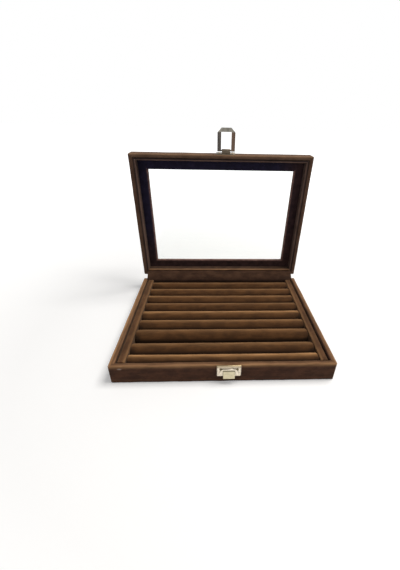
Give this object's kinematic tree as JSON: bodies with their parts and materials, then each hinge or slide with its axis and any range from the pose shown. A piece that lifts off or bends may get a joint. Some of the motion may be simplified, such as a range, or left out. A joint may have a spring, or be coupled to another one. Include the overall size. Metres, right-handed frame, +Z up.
{
  "type": "ring display box",
  "caption": "Shallow velvet-covered display box with padded ring rolls, a hinged glass-window lid standing open and a small metal snap latch.",
  "frame": {"origin": "centre of the underside of the base, on the surface the box stands on", "axes": "+X to the right of someone facing the latch, +Y towards the hinges, +Z up; the lid stands open at rest"},
  "size_m": [0.2, 0.1696, 0.1999],
  "materials": {
    "velvet": "matte",
    "roll_velvet": "matte",
    "lining_velvet": "matte",
    "underside": "matte",
    "board": "matte",
    "card": "matte",
    "glass": "gloss",
    "nickel": "satin",
    "loop_metal": "satin",
    "nail": "satin"
  },
  "bodies": {
    "base": {"underside_lining": "underside", "base_floor": "board", "base_front_wall": "velvet", "base_rear_wall": "velvet", "base_left_wall": "velvet", "base_right_wall": "velvet", "tray_board": "card", "tray_left_rail": "velvet", "tray_right_rail": "velvet", "ring_roll_1": "roll_velvet", "ring_roll_2": "roll_velvet", "ring_roll_3": "roll_velvet", "ring_roll_4": "roll_velvet", "ring_roll_5": "roll_velvet", "ring_roll_6": "roll_velvet", "ring_roll_7": "roll_velvet", "ring_roll_8": "roll_velvet", "ring_roll_9": "roll_velvet", "hinge_strip": "velvet", "left_hinge_base_leaf": "nickel", "right_hinge_base_leaf": "nickel", "left_hinge_pin": "nickel", "right_hinge_pin": "nickel", "base_hinge_nails": "nail", "catch_plate": "nickel", "catch_nails": "nail"},
    "lid": {"lid_front_wall": "velvet", "lid_rear_wall": "velvet", "lid_left_wall": "velvet", "lid_right_wall": "velvet", "lid_top_frame": "velvet", "glass_pane": "glass", "lid_inner_frame": "lining_velvet", "lid_front_lining": "lining_velvet", "lid_rear_lining": "lining_velvet", "lid_left_lining": "lining_velvet", "lid_right_lining": "lining_velvet", "left_hinge_lid_leaf": "nickel", "right_hinge_lid_leaf": "nickel", "lid_hinge_nails": "nail", "loop_plate": "nickel", "loop_plate_nails": "nail"},
    "loop": {"latch_loop": "loop_metal"},
    "tongue": {"catch_tongue": "nickel"}
  },
  "joints": [
    {"name": "lid_hinge", "type": "hinge", "parent": "base", "child": "lid", "pos_m": [0, 0.078, 0.0208], "axis": [1, 0, 0], "range_deg": [0, 88], "deforming": ["hinge_strip"]},
    {"name": "loop_swing", "type": "hinge", "parent": "lid", "child": "loop", "pos_m": [0.0041, 0.07582, 0.17792], "axis": [1, 0, 0], "range_deg": [-100, 95]},
    {"name": "tongue_press", "type": "hinge", "parent": "base", "child": "tongue", "pos_m": [0.0041, -0.07533, 0.0152], "axis": [1, 0, 0], "range_deg": [0, 9], "stiffness_Nm_per_rad": 0.03}
  ]
}
